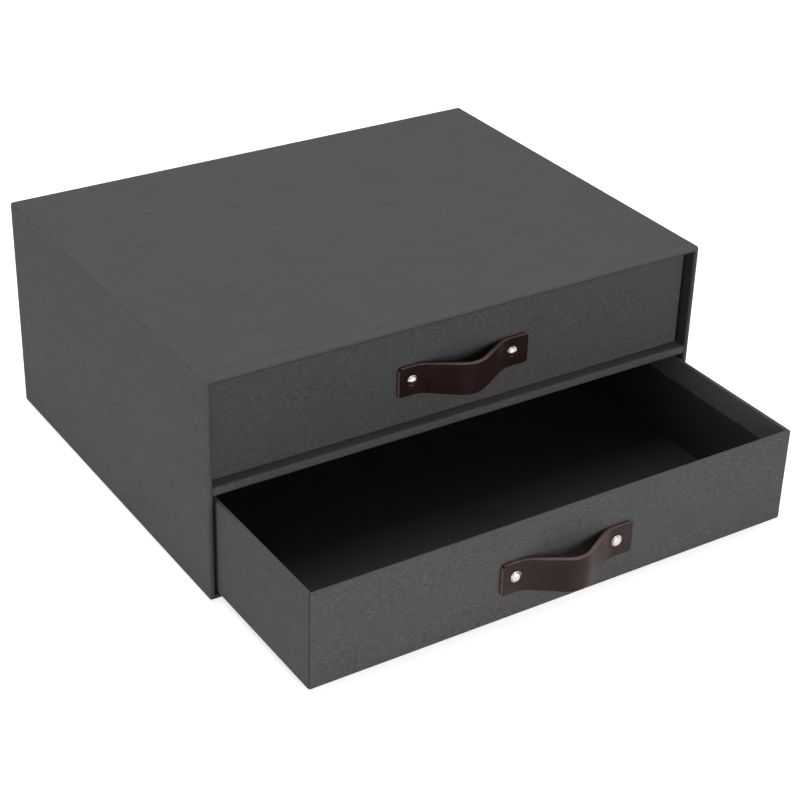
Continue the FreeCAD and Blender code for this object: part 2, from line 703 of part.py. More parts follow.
def build_drawer(prefix, pull, floor):
    """One drawer with its strap and rivets, pulled out of its bay by a given distance."""
    centre_y = f"closed_centre - {pull}"
    front_y = f"closed_front - {pull}"
    where = {"y": centre_y, "z": floor}
    boards = drawer_boards(prefix)

    bore = across(f"{prefix}_bore", "rivet_post + rivet_fit", "drawer_wall")
    place(bore, "rivet_spacing / 2", "-drawer_depth / 2", "strap_centre")
    bores = pair(f"{prefix}_bores", bore)

    half_width = "drawer_width / 2 - paper"
    half_depth = "drawer_depth / 2 - paper"
    bottom = "2 * paper"
    top = "drawer_height - paper"
    inner_x = f"{half_width} - drawer_board"
    inner_y = f"{half_depth} - drawer_board"
    panels = {
        "base": (
            (f"-({inner_x})", f"-({inner_y})", bottom),
            (inner_x, inner_y, f"{bottom} + drawer_board"),
        ),
        "front": ((f"-({half_width})", f"-({half_depth})", bottom), (half_width, f"-({inner_y})", top)),
        "back": ((f"-({half_width})", inner_y, bottom), (half_width, half_depth, top)),
        "left": ((f"-({half_width})", f"-({inner_y})", bottom), (f"-({inner_x})", inner_y, top)),
        "right": ((inner_x, f"-({inner_y})", bottom), (half_width, inner_y, top)),
    }
    for side, (low, high) in panels.items():
        panel = common(f"{prefix}_{side}", boards, block(f"{prefix}_{side}_panel", low, high))
        if side == "front":
            panel = cut(f"{prefix}_front_bored", panel, bores)
        node(panel, f"{prefix}_drawer_{side}_board", **where)

    wrap = cut(f"{prefix}_wrap", drawer_paper(prefix), boards)
    node(cut(f"{prefix}_wrap_bored", wrap, bores), f"{prefix}_drawer_cover", **where)
    lining = cut(f"{prefix}_lining_bored", drawer_lining(prefix), bores)
    node(lining, f"{prefix}_drawer_lining", **where)
    base = pasted_sheet(
        f"{prefix}_base_paper", "drawer_width", "drawer_depth", "drawer_sheet_inset", "drawer_turn_under",
    )
    node(base, f"{prefix}_drawer_base_sheet", **where)

    strap_z = f"{floor} + strap_centre"
    node(strap(prefix), f"{prefix}_handle", y=front_y, z=f"{strap_z} - strap_width / 2")

    cap = place(rivet_cap(f"{prefix}_cap"), "rivet_spacing / 2")
    node(pair(f"{prefix}_caps", cap), f"{prefix}_rivet_caps", y=f"{front_y} - strap_leather", z=strap_z)
    post = across(f"{prefix}_post", "rivet_post", "strap_leather + drawer_wall")
    posts = pair(f"{prefix}_posts", place(post, "rivet_spacing / 2"))
    node(posts, f"{prefix}_rivet_posts", y=f"{front_y} - strap_leather", z=strap_z)
    back = place(rivet_back(f"{prefix}_back_cap"), "rivet_spacing / 2")
    back.Placement.Rotation = FreeCAD.Rotation(FreeCAD.Vector(0, 0, 1), 180)
    backs = pair(f"{prefix}_back_caps", back)
    node(backs, f"{prefix}_rivet_backs", y=f"{front_y} + drawer_wall", z=strap_z)


def check():
    """Stop if any object failed or any sub-part is empty or broken."""
    for item in doc.Objects:
        if "Invalid" in item.State or "Error" in item.State:
            raise RuntimeError(f"{item.Name} failed: {item.State}")
    for item in nodes:
        if item.Shape.isNull() or not item.Shape.isValid() or not item.Shape.Solids:
            raise RuntimeError(f"{item.Label} has no sound shape")


build_case()
for drawer, pulled, stands_on in (
    ("lower", "lower_drawer_pull", "lower_drawer_floor"),
    ("upper", "0", "upper_drawer_floor"),
):
    build_drawer(drawer, pulled, stands_on)
doc.recompute()
check()
os.makedirs("parts", exist_ok=True)
for item in nodes:
    item.Shape.exportStep(f"parts/{item.Label}.step")
    print(f"{item.Label:28s} solids {len(item.Shape.Solids)} volume {item.Shape.Volume:12.1f}")
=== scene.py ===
"""Looks of the two-drawer file box.

Linen-embossed grey covering paper, black lining, brown leather straps and nickel rivets on the
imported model, with the floor, the lights and the camera of the photograph. Everything is in
metres, in the model's own frame: +X to the right, +Y to the back, +Z up.
"""
import bmesh
import bpy
import math
from mathutils import Matrix, Vector

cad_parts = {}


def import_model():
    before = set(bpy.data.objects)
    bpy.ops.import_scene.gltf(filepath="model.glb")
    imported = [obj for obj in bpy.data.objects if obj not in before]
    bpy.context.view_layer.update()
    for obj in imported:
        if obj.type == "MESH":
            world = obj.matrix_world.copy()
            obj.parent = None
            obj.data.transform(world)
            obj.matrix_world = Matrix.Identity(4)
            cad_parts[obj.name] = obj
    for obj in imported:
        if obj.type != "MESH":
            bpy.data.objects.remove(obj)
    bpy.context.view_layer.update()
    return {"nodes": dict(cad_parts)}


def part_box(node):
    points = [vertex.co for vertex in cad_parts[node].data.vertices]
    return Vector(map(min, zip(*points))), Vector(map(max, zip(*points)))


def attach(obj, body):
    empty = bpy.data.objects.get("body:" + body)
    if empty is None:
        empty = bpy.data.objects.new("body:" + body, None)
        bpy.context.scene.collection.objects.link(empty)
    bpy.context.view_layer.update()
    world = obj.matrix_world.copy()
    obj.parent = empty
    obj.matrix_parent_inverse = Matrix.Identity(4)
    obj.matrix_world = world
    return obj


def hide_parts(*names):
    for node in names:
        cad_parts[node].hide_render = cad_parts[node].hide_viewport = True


MM = 0.001
DRAWERS = ("lower", "upper")

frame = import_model()


# ---------------------------------------------------------------- shared node calls

class Nodes:
    """Short calls for the shader nodes that the finishes and the surround share."""

    def __init__(self, tree):
        self.tree = tree

    def plug(self, node, socket, value):
        """Link another node's output to a socket, or set the socket's own value."""
        target = node.inputs[socket]
        if isinstance(value, bpy.types.NodeSocket):
            self.tree.links.new(value, target)
        else:
            target.default_value = value

    def add(self, kind, settings=(), **values):
        """A new node; an underscore in a socket's name stands for a space."""
        node = self.tree.nodes.new(f"ShaderNode{kind}")
        for name, setting in dict(settings).items():
            setattr(node, name, setting)
        for name, value in values.items():
            self.plug(node, name.replace("_", " "), value)
        return node

    def calc(self, operation, *terms):
        """A math node's result."""
        node = self.add("Math", {"operation": operation})
        for index, term in enumerate(terms):
            self.plug(node, index, term)
        return node.outputs[0]

    def product(self, first, *others):
        """All the values multiplied."""
        for other in others:
            first = self.calc("MULTIPLY", first, other)
        return first

    def total(self, start, *parts):
        """A starting value plus each part times its weight."""
        for part, weight in parts:
            start = self.calc("MULTIPLY_ADD", part, weight, start)
        return start

    def distance(self, value, centre):
        """How far a value is from a centre."""
        return self.calc("ABSOLUTE", self.calc("SUBTRACT", value, centre))

    def mix(self, kind, first_socket, result, factor, low, high):
        """A mix node's result, by its sockets for one kind of value."""
        node = self.add("Mix", {"data_type": kind}, Factor=factor)
        self.plug(node, first_socket, low)
        self.plug(node, first_socket + 1, high)
        return node.outputs[result]

    def choose(self, factor, low, high):
        """A number between two, by a factor."""
        return self.mix("FLOAT", 2, 0, factor, low, high)

    def blend(self, factor, low, high):
        """A colour between two, by a factor."""
        return self.mix("RGBA", 6, 2, factor, low, high)

    def step(self, value, low, high, start=0.0, end=1.0):
        """A value carried smoothly from one span to another, and held outside it."""
        settings = {"interpolation_type": "SMOOTHSTEP"}
        span = {"From_Min": low, "From_Max": high, "To_Min": start, "To_Max": end}
        return self.add("MapRange", settings, Value=value, **span).outputs[0]

    def seen(self):
        """1 for what the camera sees, also mirrored or through glass, 0 for light on the object."""
        rays = self.add("LightPath").outputs
        mirrored = self.calc("MAXIMUM", rays["Is Camera Ray"], rays["Is Glossy Ray"])
        return self.calc("MAXIMUM", mirrored, rays["Is Transmission Ray"])


class Finish(Nodes):
    """A material under way."""

    def __init__(self, name):
        self.material = bpy.data.materials.new(name)
        self.material.use_nodes = True
        super().__init__(self.material.node_tree)
        self.shader = self.tree.nodes["Principled BSDF"]

    def set(self, **values):
        """Set or link sockets of the shader."""
        for name, value in values.items():
            self.plug(self.shader, name.replace("_", " "), value)

    def place(self):
        """The point's place in the frame, in metres."""
        return self.add("TexCoord").outputs["Object"]

    def axes(self):
        """The point's place as three sockets: x, y and z."""
        return self.add("SeparateXYZ", Vector=self.place()).outputs

    def vector(self, x, y, z=0.0):
        """Three values as one vector."""
        return self.add("CombineXYZ", X=x, Y=y, Z=z).outputs[0]

    def facing(self, axis):
        """1 where the surface faces along an axis to within about 45 degrees, 0 elsewhere."""
        normal = self.add("TexCoord").outputs["Normal"]
        along = self.add("SeparateXYZ", Vector=normal).outputs[axis]
        return self.calc("GREATER_THAN", self.calc("ABSOLUTE", along), 0.7)

    def noise(self, place, size, detail=2.0, roughness=0.5):
        """Noise with blotches of about a given size in metres, from 0 to 1."""
        settings = {"Scale": 1 / size, "Detail": detail, "Roughness": roughness}
        return self.add("TexNoise", Vector=place, **settings).outputs[0]

    def cells(self, place, size):
        """The distance to the nearest of scattered points about a given size apart."""
        return self.add("TexVoronoi", Vector=place, Scale=1 / size).outputs["Distance"]

    def bump(self, height, depth, under=None):
        """A relief of a given depth in metres."""
        node = self.add("Bump", Height=height, Distance=depth)
        if under:
            self.plug(node, "Normal", under)
        return node.outputs[0]


def grey(level):
    """A neutral colour."""
    return (level, level, level, 1)


# ---------------------------------------------------------------- paper and board

PAPER_DARK = (0.0295, 0.0300, 0.0305, 1)
PAPER_COOL = (0.1530, 0.1560, 0.1650, 1)
PAPER_WARM = (0.1600, 0.1570, 0.1560, 1)
# PAPER_SHADED is painted shade, for inside the case's mouth
PAPER_SHADED = (0.034, 0.034, 0.035, 1)
BLACK = (0.020, 0.020, 0.0205, 1)
LINING_DARK = (0.015, 0.015, 0.0155, 1)
LINING_LIGHT = (0.026, 0.026, 0.0265, 1)
BOARD_DARK = (0.20, 0.19, 0.17, 1)
BOARD_LIGHT = (0.33, 0.31, 0.28, 1)
BOARD_FLECK = (0.09, 0.085, 0.08, 1)

THREAD = 0.62 * MM          # from one embossed thread to the next
THREAD_WANDER = 9.0         # how far threads stray at most, where 2 pi is one thread's width
SLUB_STRETCH = 4.5          # how much longer than wide the slubs are
GRAIN_STRETCH = 1.5         # the same for the grain, the specks and the pits
SIDE_SHIFT = 0.37           # gives the sides another piece of the pattern than the top
PAPER_RELIEF = 0.16 * MM

PLAIN_STRENGTH = 1.2        # of the pattern, on the shelf and the pasted sheets
CASE_STRENGTH = 0.22        # the photograph shows the case smoother than the drawers' fronts
DRAWER_STRENGTH = 0.25
FRONT_STRENGTH = 1.1        # added to the drawer's on its front and back
UPPER_PAPER_SHADE = 0.17    # towards BLACK: more shade than soft lamps give the upper drawer

MOUTH_SIDE = (1.1 * MM, 4.4 * MM)   # where the mouth's painted shade begins and is full, from the sides
MOUTH_TOP = (2.5 * MM, 3.7 * MM)    # the same from the top
MOUTH_RAGGED = 1.2 * MM     # how far noise moves the painted shade's upper edge at most
CASE_WALL = 2.8 * MM        # a little less than the thickness of the case's walls
CASE_ROUND = 1.7 * MM       # radius of the case's edges
CREASE = 0.40 * MM          # half the width of the crease along the middle of that round

TURN_IN = 16 * MM           # the covering paper's turned-in edge, below a drawer's rim
TURN_RAGGED = 2.2 * MM      # how far noise lifts that edge at most
TURN_BLUR = (1.15 * MM, 0.90 * MM)  # its blur's ends below TURN_IN, which make up for the lift
DRAWER_WALL = 1.2 * MM      # a depth between the outer and the inner face of a drawer's wall
DRAWER_ROUND = 1.5 * MM     # radius of a drawer's upright corners
SEAM = 0.42 * MM            # half the width of the paper's joint in the middle of that round
SEAM_SHADE = 0.85           # towards PAPER_DARK
SEAM_DEPTH = 2.0            # in depths of the paper's relief


def linen(finish, strength):
    """Linen-embossed paper: crossing threads, slubs, raised light specks, pits and faint clouds.

    Gives its tone as a colour, and its height.
    """
    x, y, z = finish.axes()
    on_side = finish.facing("X")
    along = finish.choose(on_side, x, y)
    across = finish.choose(finish.facing("Z"), z, y)
    off = finish.calc("MULTIPLY", on_side, SIDE_SHIFT)
    flat = finish.vector(along, across, off)
    long = finish.vector(finish.calc("DIVIDE", along, SLUB_STRETCH), across, off)
    short = finish.vector(finish.calc("DIVIDE", along, GRAIN_STRETCH), across, off)

    wander = finish.calc("MULTIPLY", finish.noise(flat, 2.5 * MM, detail=1), THREAD_WANDER)
    warp, weft = (
        finish.calc("SINE", finish.calc("MULTIPLY_ADD", course, 2 * math.pi / THREAD, wander))
        for course in (along, across)
    )
    weave = finish.calc("MULTIPLY", warp, weft)
    slub = finish.noise(long, 0.80 * MM)
    grain = finish.noise(short, 1.15 * MM, roughness=0.7)
    speck = finish.step(finish.cells(short, 2.5 * MM), 0.10, 0.24, start=1.0, end=0.0)
    pit = finish.step(finish.noise(short, 1.5 * MM, detail=1), 0.26, 0.36, start=1.0, end=0.0)
    crowd = finish.step(finish.noise(long, 20 * MM), 0.35, 0.65, start=0.50)
    mottle = finish.noise(short, 3.4 * MM, roughness=0.4)
    patch = finish.step(finish.noise(long, 8 * MM), 0.30, 0.48, start=-0.045, end=0.0)
    cloud = finish.noise(flat, 45 * MM, detail=3, roughness=0.6)
    tint = finish.step(finish.noise(flat, 28 * MM), 0.30, 0.70)

    # -0.485 takes out the mean of the slubs and the grain, so that strength adds no brightness,
    # and crowd makes the fine pattern fainter in places.
    fine = finish.total(-0.485, (slub, 0.66), (grain, 0.31), (speck, 0.25), (pit, -0.22))
    fine = finish.product(fine, crowd, strength)
    broad = finish.total(0.385, (patch, 1.0), (mottle, 0.15), (cloud, 0.10))
    shade = finish.calc("ADD", fine, broad)
    light = finish.blend(tint, PAPER_WARM, PAPER_COOL)
    height = finish.total(slub, (weave, 0.10), (grain, 0.9), (speck, 0.5))
    return finish.blend(shade, PAPER_DARK, light), height


def set_paper(finish, tone, height):
    """A dull paper surface with its relief."""
    relief = finish.bump(height, PAPER_RELIEF)
    finish.set(Base_Color=tone, Normal=relief, Roughness=0.85, Specular_IOR_Level=0.12)


def paper_finish():
    """The grey covering paper, with nothing more."""
    finish = Finish("covering_paper")
    set_paper(finish, *linen(finish, PLAIN_STRENGTH))
    return finish


def case_paper_finish():
    """The covering paper of the case: painted shade into its mouth, creased along its upper edges.
    """
    finish = Finish("case_paper")
    tone, height = linen(finish, CASE_STRENGTH)
    low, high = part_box("case_cover")
    x, y, z = finish.axes()
    from_side = finish.calc("SUBTRACT", high.x, finish.calc("ABSOLUTE", x))
    under_top = finish.calc("SUBTRACT", high.z, z)

    broken = finish.noise(finish.vector(y, 0.0), 24 * MM, detail=3, roughness=0.7)
    crease = finish.product(
        finish.calc("COMPARE", from_side, under_top, CREASE),
        finish.calc("LESS_THAN", under_top, CASE_ROUND),
        finish.step(broken, 0.42, 0.56, end=0.35),
    )
    tone = finish.blend(crease, tone, PAPER_DARK)

    wave = finish.noise(finish.vector(x, 0.0), 6 * MM, detail=3)
    ragged = finish.total(under_top, (wave, MOUTH_RAGGED))
    # Painted shade: the paper darkens towards PAPER_SHADED into the mouth, from the sides' front
    # edges and from under the top.
    painted_mouth_shade = finish.product(
        finish.step(from_side, *MOUTH_SIDE),
        finish.step(ragged, *MOUTH_TOP),
        finish.calc("GREATER_THAN", z, low.z + CASE_WALL),
        finish.calc("LESS_THAN", y, high.y - CASE_WALL),
    )
    set_paper(finish, finish.blend(painted_mouth_shade, tone, PAPER_SHADED), height)
    return finish


def drawer_paper_finish(prefix):
    """The covering paper of a drawer: its turned-in edge, the lining below it, and its seam."""
    finish = Finish(f"{prefix}_drawer_paper")
    strength = finish.total(DRAWER_STRENGTH, (finish.facing("Y"), FRONT_STRENGTH))
    tone, height = linen(finish, strength)
    low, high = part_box(f"{prefix}_drawer_cover")
    x, y, z = finish.axes()

    wave = finish.noise(finish.vector(x, y), 14 * MM, detail=3)
    ragged = finish.total(z, (wave, -TURN_RAGGED))
    turned_in = finish.step(ragged, *(high.z - TURN_IN - blur for blur in TURN_BLUR))
    middle = (low + high) / 2
    half = (high - low) / 2
    lined = finish.product(
        finish.calc("LESS_THAN", finish.distance(x, middle.x), half.x - DRAWER_WALL),
        finish.calc("LESS_THAN", finish.distance(y, middle.y), half.y - DRAWER_WALL),
        finish.calc("SUBTRACT", 1.0, turned_in),
    )
    tone = finish.blend(lined, tone, BLACK)

    # The sheet's joint is a thin broken line down one front corner's round.
    in_from_side = finish.calc("SUBTRACT", x, low.x)
    in_from_front = finish.calc("SUBTRACT", y, low.y)
    broken = finish.noise(finish.vector(0.0, 0.0, z), 1.3 * MM)
    seam = finish.product(
        finish.calc("COMPARE", in_from_side, in_from_front, SEAM),
        finish.calc("LESS_THAN", in_from_side, DRAWER_ROUND),
        finish.step(broken, 0.30, 0.60, start=0.6),
    )
    tone = finish.blend(finish.calc("MULTIPLY", seam, SEAM_SHADE), tone, PAPER_DARK)
    # Painted shade: the whole upper drawer's paper is darkened towards BLACK.
    if prefix == "upper":
        tone = finish.blend(UPPER_PAPER_SHADE, tone, BLACK)
    set_paper(finish, tone, finish.total(height, (seam, -SEAM_DEPTH)))
    return finish


def lining_finish():
    """The black lining: smooth paper with a faint tooth."""
    finish = Finish("black_lining")
    place = finish.place()
    tooth = finish.noise(place, 0.5 * MM, detail=3)
    cloud = finish.noise(place, 30 * MM, detail=3)
    finish.set(
        Base_Color=finish.blend(cloud, LINING_DARK, LINING_LIGHT),
        Roughness=finish.step(tooth, 0.2, 0.8, start=0.55, end=0.7),
        Normal=finish.bump(tooth, 0.03 * MM),
        Specular_IOR_Level=0.3,
    )
    return finish


def board_finish():
    """Uncoated greyboard with its fibres and dark flecks."""
    finish = Finish("greyboard")
    place = finish.place()
    fibre = finish.noise(place, 1.4 * MM, detail=5, roughness=0.7)
    fleck = finish.step(finish.cells(place, 2.2 * MM), 0.0, 0.12, start=1.0, end=0.0)
    tone = finish.blend(fibre, BOARD_DARK, BOARD_LIGHT)
    tone = finish.blend(finish.calc("MULTIPLY", fleck, 0.5), tone, BOARD_FLECK)
    finish.set(Base_Color=tone, Roughness=0.9, Normal=finish.bump(fibre, 0.08 * MM))
    return finish


# ---------------------------------------------------------------- the leather straps

LEATHER = (0.0205, 0.0096, 0.0092, 1)
LEATHER_LIGHT = (0.034, 0.0180, 0.0168, 1)
# LEATHER_DARK is only used for the upper strap's painted shade
LEATHER_DARK = (0.010, 0.001, 0.001, 1)
LEATHER_CUT = (0.165, 0.105, 0.095, 1)
LEATHER_GLOSS = {"lower": 0.14, "upper": 0.08}
UPPER_LEATHER_SHADE = 0.52  # towards LEATHER_DARK: painted shade on the upper strap, as for the paper
DARKER_MIDDLE = (8 * MM, 26 * MM)         # where the dark middle starts to fade and ends, along x
BENT = (6 * MM, 14 * MM)            # where creases begin and are full, along x
CREASE_SQUEEZE = 0.08       # of the height in the creases' noise, which draws them out upwards
FIBRE_SQUEEZE = 0.2         # the same for the cut edges' fibres
CUT_LONG = (0.45 * MM, 0.10 * MM)   # where the raw edge begins and is full, from the long edges
CUT_END = (0.75 * MM, 0.30 * MM)    # the same from the ends
CUT_RAGGED = 0.5 * MM       # how far noise moves the long raw edges at most

LEATHER_THICKNESS = 2.4 * MM
STRAP_CORNER = 3.0 * MM     # radius of its corners, seen from the front
STRAP_EDGE = 0.65 * MM      # radius of its cut edges
STRAP_LIFT = 34.0 * MM      # from its middle to where it leaves the drawer's front
STRAP_CROWN = 17.2 * MM     # radius of the outer face over the middle
STRAP_HEEL = 17.5 * MM      # radius of the outer face where it leaves the front
STRAP_SAG = 1.6 * MM        # how much further its lower edge bows out than its upper one
STRAP_SKEW = 2.2 * MM       # how far the bow's lower edge stands to the left of its upper one
STRAP_SHIFT = 1.4 * MM      # how far its ends stand to the right of the CAD strap's
STRAP_DROP = {              # how far its lower edge hangs below the CAD strap's
    "lower": 1.8 * MM,
    "upper": 0.7 * MM,
}
STRAP_STEP = 0.6 * MM       # from ring to ring of its mesh
END_INSETS = (0.6, 0.35, 0.15, 0.04, 0.0)   # of the last rings from an end, in edge radii
SECTION_SPANS = 18          # faces over the strap's width
SECTION_TURNS = 5           # faces round each of its section's corners
HALF_FLAT = 0.05 * MM       # half of what stays flat between two corners of a thin section

RIVET_RADIUS = 3.5 * MM     # of the CAD's caps
RIVET_AT = 34.5 * MM        # from the strap's middle to a rivet's
RIVET_DENT = 0.22 * MM      # how deep the leather is pressed in under a cap
DENT_REACH = 1.35 * RIVET_RADIUS


def leather_finish(prefix):
    """Brown strap leather: pebbled grain, pores, a darker middle and lighter cut edges."""
    finish = Finish(f"{prefix}_strap_leather")
    low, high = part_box(f"{prefix}_handle")
    x, y, z = finish.axes()
    place = finish.place()
    pebble = finish.cells(place, 0.75 * MM)
    pore = finish.noise(place, 0.25 * MM)
    cloud = finish.noise(place, 9 * MM, detail=3)
    from_centre = finish.calc("ABSOLUTE", x)
    darker_middle = finish.step(from_centre, *DARKER_MIDDLE, start=0.55, end=0.0)
    upright = finish.vector(x, y, finish.calc("MULTIPLY", z, CREASE_SQUEEZE))
    crease = finish.calc("SUBTRACT", finish.noise(upright, 1.3 * MM, roughness=0.7), 0.5)
    crease = finish.calc("MULTIPLY", crease, finish.step(from_centre, *BENT))
    shade = finish.calc("SUBTRACT", finish.step(cloud, 0.3, 0.75), darker_middle)
    tone = finish.blend(finish.total(shade, (crease, 1.1)), LEATHER, LEATHER_LIGHT)
    # Painted shade: the whole upper strap is darkened towards LEATHER_DARK.
    if prefix == "upper":
        tone = finish.blend(UPPER_LEATHER_SHADE, tone, LEATHER_DARK)

    middle = (low.z + high.z - STRAP_DROP[prefix]) / 2
    half_width = (high.z - low.z + STRAP_DROP[prefix]) / 2
    wave = finish.noise(place, 1.5 * MM)
    ragged = finish.total(finish.distance(z, middle), (wave, CUT_RAGGED))
    long_edge = finish.step(ragged, *(half_width - inset for inset in CUT_LONG))
    off_centre = finish.distance(x, STRAP_SHIFT)
    end = finish.step(off_centre, *(high.x - inset for inset in CUT_END))
    cut = finish.calc("MAXIMUM", long_edge, end)
    drawn_out = finish.vector(x, y, finish.calc("MULTIPLY", z, FIBRE_SQUEEZE))
    fibres = finish.step(finish.noise(drawn_out, 0.35 * MM, detail=3), 0.2, 0.6)
    tone = finish.blend(cut, tone, finish.blend(fibres, LEATHER_LIGHT, LEATHER_CUT))

    finish.set(
        Base_Color=tone,
        Roughness=finish.choose(cut, finish.step(pore, 0.3, 0.7, start=0.42, end=0.58), 0.8),
        Normal=finish.bump(pebble, 0.05 * MM, under=finish.bump(pore, 0.02 * MM)),
        Specular_IOR_Level=LEATHER_GLOSS[prefix],
    )
    return finish


def bow_path(rise, half_length):
    """Half of the strap's inner line from its middle to its end, with the way it faces.

    A crown's arc, a straight slope, a heel's arc and a flat end follow each other smoothly.
    """
    crown = STRAP_CROWN - LEATHER_THICKNESS
    heel = STRAP_HEEL + LEATHER_THICKNESS
    crown_centre = Vector((0, crown - rise))
    heel_centre = Vector((STRAP_LIFT, -heel))
    between = heel_centre - crown_centre
    turn = math.acos((STRAP_CROWN + STRAP_HEEL) / between.length)
    sweep = math.pi / 2 + math.atan2(between.y, between.x) - turn

    def facing(angle):
        """The way that the outer face looks, at an angle from straight ahead."""
        return Vector((math.sin(angle), -math.cos(angle)))

    def parts(length):
        """Even steps over a length, as fractions of it, without its far end."""
        count = math.ceil(length / STRAP_STEP)
        return [index / count for index in range(count)]

    stations = []
    for part in parts(crown * sweep):
        out = facing(sweep * part)
        stations.append((crown_centre + out * crown, out))
    slope = facing(sweep)
    slope_start = crown_centre + slope * crown
    slope_end = heel_centre - slope * heel
    for part in parts((slope_end - slope_start).length):
        stations.append((slope_start.lerp(slope_end, part), slope))
    for part in parts(heel * sweep):
        out = facing(sweep * (1 - part))
        stations.append((heel_centre - out * heel, out))
    flat = half_length - STRAP_LIFT
    for part in parts(flat):
        stations.append((Vector((STRAP_LIFT + flat * part, 0)), facing(0)))
    for inset in END_INSETS:
        stations.append((Vector((half_length - inset * STRAP_EDGE, 0)), facing(0)))
    return stations


def round_over(distance, radius):
    """How far a rounded edge has drawn in at a distance from its end."""
    if distance >= radius:
        return 0.0
    return radius - math.sqrt(radius ** 2 - (radius - distance) ** 2)


def strap_section(half_width, drawn):
    """A strap's section: points across its width and through its thickness, from its inner face.

    drawn is how far both faces have come in, near an end.
    """
    corner = min(STRAP_EDGE, LEATHER_THICKNESS / 2 - drawn - HALF_FLAT)
    across = half_width - corner
    inner = drawn
    outer = LEATHER_THICKNESS - drawn

    def face(side, through):
        """Points along one face, up to its corner on one side."""
        spans = (2 * across * index / SECTION_SPANS for index in range(SECTION_SPANS))
        return [(side * (span - across), through) for span in spans]

    def turn(middle, through, start):
        """Points round a corner, by its centre and the angle that it starts at."""
        turns = (math.radians(start + 90 * index / SECTION_TURNS) for index in range(SECTION_TURNS))
        return [(middle + corner * math.cos(t), through + corner * math.sin(t)) for t in turns]

    return [
        *face(1, inner),
        *turn(across, inner + corner, -90),
        *turn(across, outer - corner, 0),
        *face(-1, outer),
        *turn(-across, outer - corner, 90),
        *turn(-across, inner + corner, 180),
    ]


def strap(prefix, finish):
    """One strap: rounded at its edges, pressed in at its rivets, hanging as in the photograph."""
    low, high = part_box(f"{prefix}_handle")
    middle = (low.z + high.z) / 2
    half_width = (high.z - low.z) / 2
    rise = high.y - low.y - LEATHER_THICKNESS
    right = bow_path(rise, high.x + STRAP_SHIFT)
    left = bow_path(rise, high.x - STRAP_SHIFT)
    mirrored = [(Vector((-p.x, p.y)), Vector((-n.x, n.y))) for p, n in left[:0:-1]]
    mesh = bmesh.new()
    rings = []
    for point, out in mirrored + right:
        to_end = max(0.0, high.x - abs(point.x - STRAP_SHIFT))
        width = half_width - round_over(to_end, STRAP_CORNER)
        bowed = point.y / rise
        ring = []
        for across, through in strap_section(width, round_over(to_end, STRAP_EDGE)):
            from_rivet = math.hypot(abs(point.x) - RIVET_AT, across)
            dent = RIVET_DENT * math.exp(-(from_rivet / DENT_REACH) ** 4)
            place = point + out * (through - dent * through / LEATHER_THICKNESS)
            lowness = 0.5 - 0.5 * across / half_width
            place.x += STRAP_SKEW * bowed * lowness
            place.y += STRAP_SAG * bowed * lowness
            height = middle + across - STRAP_DROP[prefix] * lowness
            ring.append(mesh.verts.new((place.x, high.y + place.y, height)))
        rings.append(ring)
    for ring, following in zip(rings, rings[1:]):
        bridge(mesh, ring, following)
    mesh.faces.new(rings[0])
    mesh.faces.new(rings[-1][::-1])
    bmesh.ops.recalc_face_normals(mesh, faces=mesh.faces)
    piece = make_piece(f"{prefix}_strap", mesh, finish)
    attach(piece, f"{prefix}_drawer")
    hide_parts(f"{prefix}_handle")


def bridge(mesh, ring, following):
    """Faces from one ring of points to the next."""
    for index in range(len(ring)):
        after = (index + 1) % len(ring)
        mesh.faces.new((ring[index], ring[after], following[after], following[index]))


def make_piece(name, mesh, finish):
    """A smooth object from a mesh under way."""
    for face in mesh.faces:
        face.smooth = True
    data = bpy.data.meshes.new(name)
    mesh.to_mesh(data)
    mesh.free()
    data.materials.append(finish.material)
    piece = bpy.data.objects.new(name, data)
    bpy.context.scene.collection.objects.link(piece)
    return piece


# ---------------------------------------------------------------- the rivets

NICKEL_DARK = (0.50, 0.46, 0.42, 1)
NICKEL_LIGHT = (0.62, 0.59, 0.55, 1)

RIM = 0.25 * MM             # radius of the rim's roll
RIM_START = 0.2             # where the roll begins, as a part of half a turn
RIM_BULGE = 1.3 * RIM       # how far the roll stands up
DOME_RADIUS = RIVET_RADIUS - 1.5 * RIM
FOOT = 0.35 * MM            # from the leather to where the dome begins
RIM_FOOT = 0.7 * FOOT       # the same for the roll
EDGE_RADIUS = 0.97 * RIVET_RADIUS   # of the edge below the roll, in the pressed-in leather
DOME_RINGS = 12
RIM_RINGS = 7
CAP_SEGMENTS = 56


def rivet_finish():
    """Bright nickel plate with hair scratches."""
    finish = Finish("rivet_nickel")
    place = finish.place()
    haze = finish.noise(place, 0.8 * MM, detail=3)
    scratch = finish.noise(place, 0.12 * MM)
    finish.set(
        Base_Color=finish.blend(haze, NICKEL_DARK, NICKEL_LIGHT),
        Roughness=finish.step(haze, 0.2, 0.8, start=0.14, end=0.26),
        Normal=finish.bump(scratch, 0.004 * MM),
        Metallic=1.0,
    )
    return finish


def cap_profile(height):
    """A cap's radii and depths, from beside its crown to its edge: a dome, then a rolled rim."""
    profile = []
    for index in range(1, DOME_RINGS + 1):
        angle = math.pi / 2 * index / DOME_RINGS
        profile.append((DOME_RADIUS * math.sin(angle), -FOOT - (height - FOOT) * math.cos(angle)))
    for index in range(1, RIM_RINGS + 1):
        angle = math.pi * (RIM_START + (1 - RIM_START) * index / RIM_RINGS)
        reach = RIVET_RADIUS - RIM - RIM * math.cos(angle)
        profile.append((reach, -RIM_FOOT - RIM_BULGE * math.sin(angle)))
    profile.append((EDGE_RADIUS, RIVET_DENT))
    return profile


